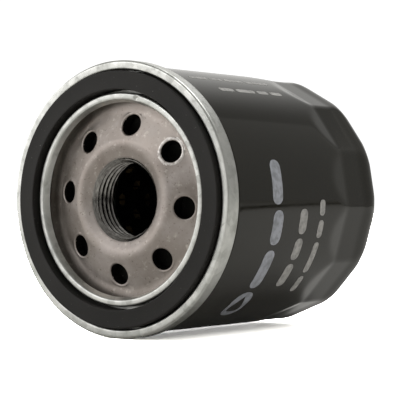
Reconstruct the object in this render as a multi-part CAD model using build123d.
from build123d import *
import os
from math import atan2, cos, degrees, pi, sin

# A spin-on engine oil filter, lying on its side.
# The filter's axis is Y. The origin is the centre of the gasket's sealing face: the engine is on the
# -Y side of it, and the can runs away from it along +Y. Z is up. Millimetres.

# ---- can: a deep-drawn cup with fourteen flats for a cap wrench round its closed end ----
CAN_R = 33.06
CAN_SHEET = 0.45
FLUTES = 14
FLUTE_TURN = -3.3            # degrees from +X towards +Z, to a corner between two flats
CORNER_R = CAN_R - 0.08      # the corners stay just inside the round wall
RAMP_START = 48.2            # the middle of each flat starts to leave the round wall here
FLAT_START = 54.8
SHOULDER_START = 65.6
SHOULDER_R = 7.0
CROWN_R = 24.0               # the closed end is slightly domed inside this radius
CROWN_RISE = 0.85
NECK_BACK = 7.0              # behind the seam the wall steps out to its full radius

# ---- double seam between the can and the seaming lid ----
LID_SHEET = 0.46
SEAM_R = 34.0
SEAM_INNER_R = 31.65
SEAM_FRONT = 1.27
SEAM_BACK = 5.35
SEAM_GAP = 0.02              # between two layers of the seam
HOOK_REST = 0.4              # each hook stops this far short of the fold it sits in

# ---- lid: gasket channel and the rolled ridge that holds the gasket from inside ----
CHANNEL_FLOOR = 5.0
RIDGE_R = 26.17
RIDGE_FRONT = 1.47
RIDGE_INNER_R = 24.5
RIDGE_FOOT_R = 23.8          # the ridge's inner wall leans in and ends short of the plate
RIDGE_FOOT = 3.2

# ---- gasket ----
GASKET_INNER_R = 26.88
GASKET_R = 31.40
GASKET_EDGE = 0.2

# ---- base plate: its middle is pressed forward as a shallow cone, round an extruded, tapped hub ----
RIM_FACE = 5.5               # the flat rim that the lid is welded to
PLATE_SHEET = 2.6
PLATE_R = 31.9
CONE_R = 21.8                # the cone rises from the rim here
CREST_R = 13.4               # and is highest here, from where it turns in to the thread's mouth
CREST_FACE = 2.75
MOUTH_FACE = 4.1
THREAD_MINOR_R = 9.19        # M20 x 1.5
THREAD_MOUTH_R = 10.35
HUB_R = 12.4
HUB_END = 11.0
HUB_CHAMFER = 0.6
INLETS = 8
INLET_R = 2.65
INLET_RING_R = 18.49
INLET_TURN = 83.9            # degrees from +X towards +Z, to the first hole
COIN_R = 3.2                 # the coined edge round each hole
COIN_DEPTH = 0.4

# ---- spot welds between the channel floor and the plate ----
WELDS = 8
WELD_R = 1.2
WELD_RING_R = 29.1
WELD_INTO_LID = 0.3
WELD_INTO_PLATE = 0.5

# ---- anti-drainback valve: one rubber moulding, divided where its lip flexes ----
NECK_R = 13.9
NECK_FRONT = 5.7
NECK_BORE_R = HUB_R + 0.05
NECK_FOLD_R = 10.5
NECK_FOLD = 1.1
FLEX_GAP = 0.1
LIP_SHEET = 0.9
LIP_ROOT = 10.1
LIP_SHOULDER_R = 15.8
LIP_EDGE_R = 22.6
LIP_BEAD_R = 0.5
LIP_SEAT_GAP = 0.05

# ---- filter element ----
CAP_SHEET = 0.4
CAP_R = 29.1
LOWER_CAP = 12.25            # engine side face of the lower end cap
UPPER_CAP = 60.05            # dome side face of the upper end cap
CAP_FLANGE = 3.0
TUBE_R = 12.8
TUBE_SHEET = 0.5
TUBE_END_GAP = 0.35          # clears the bend at the foot of the lower cap's collar
COLLAR_R = TUBE_R - TUBE_SHEET - 0.1
COLLAR = 2.6
TUBE_HOLE_R = 1.6
TUBE_COLUMNS = 10
TUBE_ROWS = 8
ADHESIVE = 1.0
MEDIA_R = 28.0
MEDIA_INNER_R = 13.3
PAPER = 0.5
PLEATS = 48
FOLD_HALF = 0.5              # half the width of a fold, along the middle of the paper, at its outer end
VALLEY_HALF = 0.4            # the same at its inner end
CLIP_SHEET = 0.4
CLIP_DEPTH = 6.0
FIT = 0.05                   # between parts of the element that only lie on each other

# ---- bypass valve in the upper end cap ----
CAGE_R = 9.6
CAGE_SHEET = 0.4
CAGE_FLANGE_R = 11.6
CAGE_DEPTH = 13.3
CAGE_WINDOWS = 4
WINDOW_WIDTH = 6.0
WINDOW_LENGTH = 8.0
GUIDE_R = 1.6
SEAT_BORE_R = 6.0
SEAT_SHEET = 0.8
SEAL_R = 7.4
SEAL_SHEET = 0.6
POPPET_R = 7.6
POPPET_SHEET = 0.8
POPPET_NOSE_R = 2.9
POPPET_SHOULDER_R = 3.4
POPPET_SHOULDER = 1.5
STEM_R = 1.3
STEM_PAST_CAGE = 1.4
COIL_R = 5.0
COIL_WIRE_R = 0.45
COIL_TURNS = 6

# ---- leaf spring that holds the element down ----
LEAF_SHEET = 0.6
LEAF_RING_INNER_R = 12.0
LEAF_RING_R = 16.5
LEGS = 4
LEG_WIDTH = 7.0
LEG_BEND_R = 17.5
LEG_KNEE_R = 21.5
LEG_FOOT_R = 25.0
LEG_FOOT_FALL = 0.9          # the toe curls back from the can by this much

# ---- worked out from the dimensions above ----
FLAT_R = CORNER_R * cos(pi / FLUTES)
CAN_END = SHOULDER_START + SHOULDER_R
CAN_INSIDE_END = CAN_END - CAN_SHEET
SEAM_WALL_R = SEAM_INNER_R + LID_SHEET + SEAM_GAP
RIM_BACK = RIM_FACE + PLATE_SHEET
CONE_RISE = (RIM_FACE - CREST_FACE) / (CONE_R - CREST_R)
MEDIA_FRONT = LOWER_CAP + CAP_SHEET + FIT + ADHESIVE + FIT
MEDIA_BACK = UPPER_CAP - CAP_SHEET - FIT - ADHESIVE - FIT
CAGE_FLANGE_BACK = UPPER_CAP + FIT + CAGE_SHEET
SEAT_FACE = CAGE_FLANGE_BACK + FIT
CAGE_FLOOR = CAGE_FLANGE_BACK - CAGE_DEPTH
POPPET_BACK = SEAT_FACE - FIT - SEAL_SHEET - FIT
POPPET_FRONT = POPPET_BACK - POPPET_SHEET


def turned(*outline):
    """A solid turned about the filter's axis from an outline of (radius, y) points."""
    return revolve(make_face(Polyline(*outline, close=True)), axis=Axis.Y)


def sheet_section(points, bends, sheet):
    """The section of a bent sheet, from its middle line with a bend radius at each corner."""
    middle = FilletPolyline(*points, radius=bends)
    left = make_face(offset(middle, sheet / 2, side=Side.LEFT).edges())
    right = make_face(offset(middle, sheet / 2, side=Side.RIGHT).edges())
    return (left + right).clean()


def pressed(points, bends, sheet):
    """Pressed sheet metal, turned about the filter's axis."""
    return revolve(sheet_section(points, bends, sheet), axis=Axis.Y)


def tube(inner_r, outer_r, front, back):
    return turned((inner_r, front), (outer_r, front), (outer_r, back), (inner_r, back))


def rod(radius, front, back):
    return tube(0, radius, front, back)


def spun(shape, angle):
    """The shape turned about the filter's axis, from +X towards +Z."""
    return shape.rotate(Axis.Y, -angle)


def ring_of(shape, count, first=0.0):
    return [spun(shape, first + 360 * k / count) for k in range(count)]


def can_body(inset):
    """The can's outer form, or with an inset of one sheet the hollow inside it."""
    wall = CAN_R - inset
    flat = FLAT_R - inset
    end = CAN_END - inset
    shoulder = SHOULDER_R - inset
    ramp_foot = RAMP_START - 8.0
    ramp_foot_r = flat + (FLAT_START - ramp_foot) * (CAN_R - FLAT_R) / (FLAT_START - RAMP_START)
    half_side = [
        Line((0, ramp_foot), (ramp_foot_r, ramp_foot)),
        Line((ramp_foot_r, ramp_foot), (flat, FLAT_START)),
        Line((flat, FLAT_START), (flat, SHOULDER_START)),
        CenterArc((flat - shoulder, SHOULDER_START), shoulder, 0, 90),
        Line((flat - shoulder, end), (0, end)),
        Line((0, end), (0, ramp_foot)),
    ]
    face = make_face(half_side)
    slab = extrude(face + face.mirror(Plane.YZ), amount=CAN_R + 2, both=True)
    fluted = rod(wall, ramp_foot, end)
    mid_flat = FLUTE_TURN + 180 / FLUTES
    for k in range(FLUTES // 2):
        fluted = fluted & spun(slab, mid_flat + 360 * k / FLUTES)
    crown_r = CROWN_R - inset
    crown = make_face([
        ThreePointArc((0, end + CROWN_RISE), (crown_r / 2, end + CROWN_RISE * 3 / 4), (crown_r, end)),
        Line((crown_r, end), (crown_r, end - CAN_SHEET / 2)),
        Line((crown_r, end - CAN_SHEET / 2), (0, end - CAN_SHEET / 2)),
        Line((0, end - CAN_SHEET / 2), (0, end + CROWN_RISE)),
    ])
    return fluted + rod(wall, NECK_BACK, ramp_foot) + revolve(crown, axis=Axis.Y)


def canister():
    hook_r = SEAM_R - LID_SHEET - SEAM_GAP - CAN_SHEET / 2
    neck_r = SEAM_WALL_R + CAN_SHEET / 2
    fold = SEAM_FRONT + LID_SHEET + SEAM_GAP + CAN_SHEET / 2
    hook_end = SEAM_BACK - LID_SHEET - HOOK_REST
    neck = pressed(
        [
            (hook_r, hook_end),
            (hook_r, fold),
            (neck_r, fold),
            (neck_r, SEAM_BACK + 0.6),
            (CAN_R - CAN_SHEET / 2, NECK_BACK - 0.2),
            (CAN_R - CAN_SHEET / 2, NECK_BACK),
        ],
        [0.37, 0.37, 0.4, 0.3],
        CAN_SHEET,
    )
    return can_body(0) - can_body(CAN_SHEET) + neck


def seaming_lid():
    half = LID_SHEET / 2
    outer_r = SEAM_R - half
    wall_r = SEAM_INNER_R + half
    cover_hook_r = SEAM_WALL_R + CAN_SHEET + SEAM_GAP + half
    front = SEAM_FRONT + half
    back = SEAM_BACK - half
    floor = CHANNEL_FLOOR + half
    hook_end = SEAM_FRONT + LID_SHEET + SEAM_GAP + CAN_SHEET + HOOK_REST
    return pressed(
        [
            (cover_hook_r, hook_end),
            (cover_hook_r, back),
            (outer_r, back),
            (outer_r, front),
            (wall_r, front),
            (wall_r, floor),
            (RIDGE_R - half, floor),
            (RIDGE_R - half, RIDGE_FRONT + half),
            (RIDGE_INNER_R + half, RIDGE_FRONT + half),
            (RIDGE_FOOT_R + half, RIDGE_FOOT),
        ],
        [0.4, 0.3, 0.4, 0.35, 0.3, 0.3, 0.35, 0.35],
        LID_SHEET,
    )


def sealing_gasket():
    ring = tube(GASKET_INNER_R, GASKET_R, 0, CHANNEL_FLOOR)
    return fillet(ring.edges().filter_by(GeomType.CIRCLE), GASKET_EDGE)


def base_plate():
    plate = turned(
        (THREAD_MINOR_R, MOUTH_FACE + THREAD_MOUTH_R - THREAD_MINOR_R),
        (THREAD_MOUTH_R, MOUTH_FACE),
        (CREST_R, CREST_FACE),
        (CONE_R, RIM_FACE),
        (PLATE_R, RIM_FACE),
        (PLATE_R, RIM_BACK),
        (CONE_R, RIM_BACK),
        (CREST_R, CREST_FACE + PLATE_SHEET),
        (HUB_R, CREST_FACE + PLATE_SHEET),
        (HUB_R, HUB_END),
        (THREAD_MINOR_R + HUB_CHAMFER, HUB_END),
        (THREAD_MINOR_R, HUB_END - HUB_CHAMFER),
    )
    # each inlet is pierced square to the cone, and its edge is coined
    cone_face = CREST_FACE + (INLET_RING_R - CREST_R) * CONE_RISE
    lean = degrees(atan2(CONE_RISE, 1))
    inlet = turned(
        (0, -1),
        (COIN_R, -1),
        (COIN_R, 0),
        (INLET_R, COIN_DEPTH),
        (INLET_R, PLATE_SHEET + 1),
        (0, PLATE_SHEET + 1),
    ).moved(Location((INLET_RING_R, cone_face, 0), (0, 0, lean)))
    for hole in ring_of(inlet, INLETS, INLET_TURN):
        plate = plate - hole
    return plate


def spot_welds():
    floor_back = CHANNEL_FLOOR + LID_SHEET
    nugget = rod(WELD_R, floor_back - WELD_INTO_LID, RIM_FACE + WELD_INTO_PLATE)
    return ring_of(nugget.moved(Location((WELD_RING_R, 0, 0))), WELDS, INLET_TURN)


def drainback_valve_neck():
    return turned(
        (NECK_BORE_R, NECK_FRONT),
        (NECK_R, NECK_FRONT + 1.0),
        (NECK_R, HUB_END + NECK_FOLD),
        (NECK_FOLD_R, HUB_END + NECK_FOLD),
        (NECK_FOLD_R, HUB_END + FIT),
        (NECK_BORE_R, HUB_END + FIT),
    )


def drainback_valve_lip():
    """A cone that covers the inlet holes. Its beaded edge seals on the plate outside them."""
    root_r = NECK_R + FLEX_GAP
    bead = RIM_BACK + LIP_SEAT_GAP + LIP_BEAD_R
    cone = turned(
        (root_r, LIP_ROOT - LIP_SHEET),
        (root_r, LIP_ROOT),
        (LIP_SHOULDER_R, LIP_ROOT),
        (LIP_EDGE_R, bead + LIP_SHEET / 2),
        (LIP_EDGE_R, bead - LIP_SHEET / 2),
        (LIP_SHOULDER_R - LIP_SHEET / 4, LIP_ROOT - LIP_SHEET),
    )
    edge = revolve(Location((LIP_EDGE_R, bead)) * Circle(LIP_BEAD_R), axis=Axis.Y)
    return cone + edge


def lower_end_cap():
    half = CAP_SHEET / 2
    return pressed(
        [
            (CAP_R - half, LOWER_CAP + CAP_FLANGE),
            (CAP_R - half, LOWER_CAP + half),
            (COLLAR_R - half, LOWER_CAP + half),
            (COLLAR_R - half, LOWER_CAP + COLLAR),
        ],
        [0.5, 0.5],
        CAP_SHEET,
    )


def upper_end_cap():
    half = CAP_SHEET / 2
    return pressed(
        [
            (CAP_R - half, UPPER_CAP - CAP_FLANGE),
            (CAP_R - half, UPPER_CAP - half),
            (CAGE_R + FIT, UPPER_CAP - half),
        ],
        [0.5],
        CAP_SHEET,
    )


def cap_adhesive(front):
    return tube(TUBE_R + FIT, CAP_R - 2 * CAP_SHEET, front, front + ADHESIVE)


def centre_tube():
    front = LOWER_CAP + CAP_SHEET + TUBE_END_GAP
    back = UPPER_CAP - CAP_SHEET - FIT
    wall = tube(TUBE_R - TUBE_SHEET, TUBE_R, front, back)
    pitch = (back - front) / (TUBE_ROWS + 1)
    for row in range(TUBE_ROWS):
        height = front + pitch * (row + 1)
        stagger = (row % 2) * 180 / TUBE_COLUMNS
        drill = Plane(origin=(0, height, 0), x_dir=(0, 1, 0), z_dir=(1, 0, 0)) * Cylinder(
            TUBE_HOLE_R, 2 * TUBE_R, align=(Align.CENTER, Align.CENTER, Align.MIN)
        )
        wall = wall - ring_of(drill, TUBE_COLUMNS, stagger)
    return wall


def pleat_outline(side):
    """One side of the pleated paper as a closed outline: four points a pleat."""
    tip_r = MEDIA_R - PAPER / 2 + side * PAPER / 2
    valley_r = MEDIA_INNER_R + PAPER / 2 + side * PAPER / 2
    tip_half = FOLD_HALF + side * PAPER / 2
    valley_half = VALLEY_HALF - side * PAPER / 2
    points = []
    for k in range(PLEATS):
        tip = 2 * pi * k / PLEATS
        valley = tip + pi / PLEATS
        for radius, angle, across in (
            (tip_r, tip, -tip_half),
            (tip_r, tip, tip_half),
            (valley_r, valley, -valley_half),
            (valley_r, valley, valley_half),
        ):
            x = radius * cos(angle) - across * sin(angle)
            z = radius * sin(angle) + across * cos(angle)
            points.append((x, MEDIA_FRONT, z))
    return make_face(Polyline(*points, close=True))


def filter_media():
    length = MEDIA_BACK - MEDIA_FRONT
    outer = extrude(pleat_outline(1), amount=length, dir=(0, 1, 0))
    inner = extrude(pleat_outline(-1), amount=length, dir=(0, 1, 0))
    return outer - inner


def media_seam_clip():
    """A folded steel strip along the pleat where the two ends of the paper meet."""
    inner_half = FOLD_HALF + PAPER / 2 + FIT
    outer_half = inner_half + CLIP_SHEET
    front = (MEDIA_FRONT + MEDIA_BACK) / 2
    length = MEDIA_BACK - MEDIA_FRONT
    fold_r = MEDIA_R + FIT
    block = Box(CLIP_DEPTH, length, 2 * outer_half)
    slot = Box(CLIP_DEPTH, length, 2 * inner_half)
    mid_r = fold_r + CLIP_SHEET - CLIP_DEPTH / 2
    return Location((mid_r, front, 0)) * block - Location((mid_r - CLIP_SHEET, front, 0)) * slot


def bypass_cage():
    half = CAGE_SHEET / 2
    cup = pressed(
        [
            (CAGE_FLANGE_R, CAGE_FLANGE_BACK - half),
            (CAGE_R - half, CAGE_FLANGE_BACK - half),
            (CAGE_R - half, CAGE_FLOOR + half),
            (GUIDE_R, CAGE_FLOOR + half),
        ],
        [0.4, 0.8],
        CAGE_SHEET,
    )
    height = CAGE_FLOOR + 2 + WINDOW_LENGTH / 2
    window = Location((CAGE_R, height, 0)) * Box(CAGE_R, WINDOW_LENGTH, WINDOW_WIDTH)
    for cut in ring_of(window, CAGE_WINDOWS):
        cup = cup - cut
    return cup


def bypass_valve_seat():
    return tube(SEAT_BORE_R, CAGE_FLANGE_R, SEAT_FACE, SEAT_FACE + SEAT_SHEET)


def bypass_seal():
    return tube(POPPET_NOSE_R + FIT, SEAL_R, POPPET_BACK + FIT, SEAT_FACE - FIT)


def bypass_poppet():
    return turned(
        (0, CAGE_FLOOR - STEM_PAST_CAGE),
        (STEM_R, CAGE_FLOOR - STEM_PAST_CAGE),
        (STEM_R, POPPET_FRONT - POPPET_SHOULDER),
        (POPPET_SHOULDER_R, POPPET_FRONT - POPPET_SHOULDER),
        (POPPET_SHOULDER_R, POPPET_FRONT),
        (POPPET_R, POPPET_FRONT),
        (POPPET_R, POPPET_BACK),
        (POPPET_NOSE_R, POPPET_BACK),
        (POPPET_NOSE_R, SEAT_FACE),
        (0, SEAT_FACE),
    )


def bypass_spring():
    front = CAGE_FLOOR + CAGE_SHEET + COIL_WIRE_R + FIT
    back = POPPET_FRONT - COIL_WIRE_R - FIT
    height = back - front
    path = Helix(height / COIL_TURNS, height, COIL_R, center=(0, front, 0), direction=(0, 1, 0))
    return sweep(Plane(origin=path @ 0, z_dir=path % 0) * Circle(COIL_WIRE_R), path, is_frenet=True)


def element_spring():
    """A flat ring on the end cap with four legs that reach up to the closed end of the can."""
    front = UPPER_CAP + FIT + LEAF_SHEET / 2
    foot = CAN_INSIDE_END - FIT - LEAF_SHEET / 2
    ring = tube(LEAF_RING_INNER_R, LEAF_RING_R, front - LEAF_SHEET / 2, front + LEAF_SHEET / 2)
    path = [
        (LEAF_RING_R - 1.5, front),
        (LEG_BEND_R, front),
        (LEG_KNEE_R, foot),
        (LEG_FOOT_R, foot - LEG_FOOT_FALL),
    ]
    leg = extrude(sheet_section(path, [1.0, 1.2], LEAF_SHEET), amount=LEG_WIDTH / 2, both=True)
    spring = ring
    for one in ring_of(leg, LEGS, 45):
        spring = spring + one
    return spring


NODES = {
    "canister": canister(),
    "seaming_lid": seaming_lid(),
    "sealing_gasket": sealing_gasket(),
    "base_plate": base_plate(),
    "spot_welds": spot_welds(),
    "drainback_valve_neck": drainback_valve_neck(),
    "drainback_valve_lip": drainback_valve_lip(),
    "lower_end_cap": lower_end_cap(),
    "lower_cap_adhesive": cap_adhesive(LOWER_CAP + CAP_SHEET + FIT),
    "centre_tube": centre_tube(),
    "filter_media": filter_media(),
    "media_seam_clip": media_seam_clip(),
    "upper_cap_adhesive": cap_adhesive(MEDIA_BACK + FIT),
    "upper_end_cap": upper_end_cap(),
    "bypass_cage": bypass_cage(),
    "bypass_valve_seat": bypass_valve_seat(),
    "bypass_seal": bypass_seal(),
    "bypass_poppet": bypass_poppet(),
    "bypass_spring": bypass_spring(),
    "element_spring": element_spring(),
}

os.makedirs("parts", exist_ok=True)
for name, shape in NODES.items():
    solids = shape if isinstance(shape, list) else [shape]
    node = Compound(children=[solid for item in solids for solid in item.solids()])
    export_step(node, f"parts/{name}.step")
    print(f"{name}: {len(node.solids())} solid(s), {node.volume:.1f} mm3")
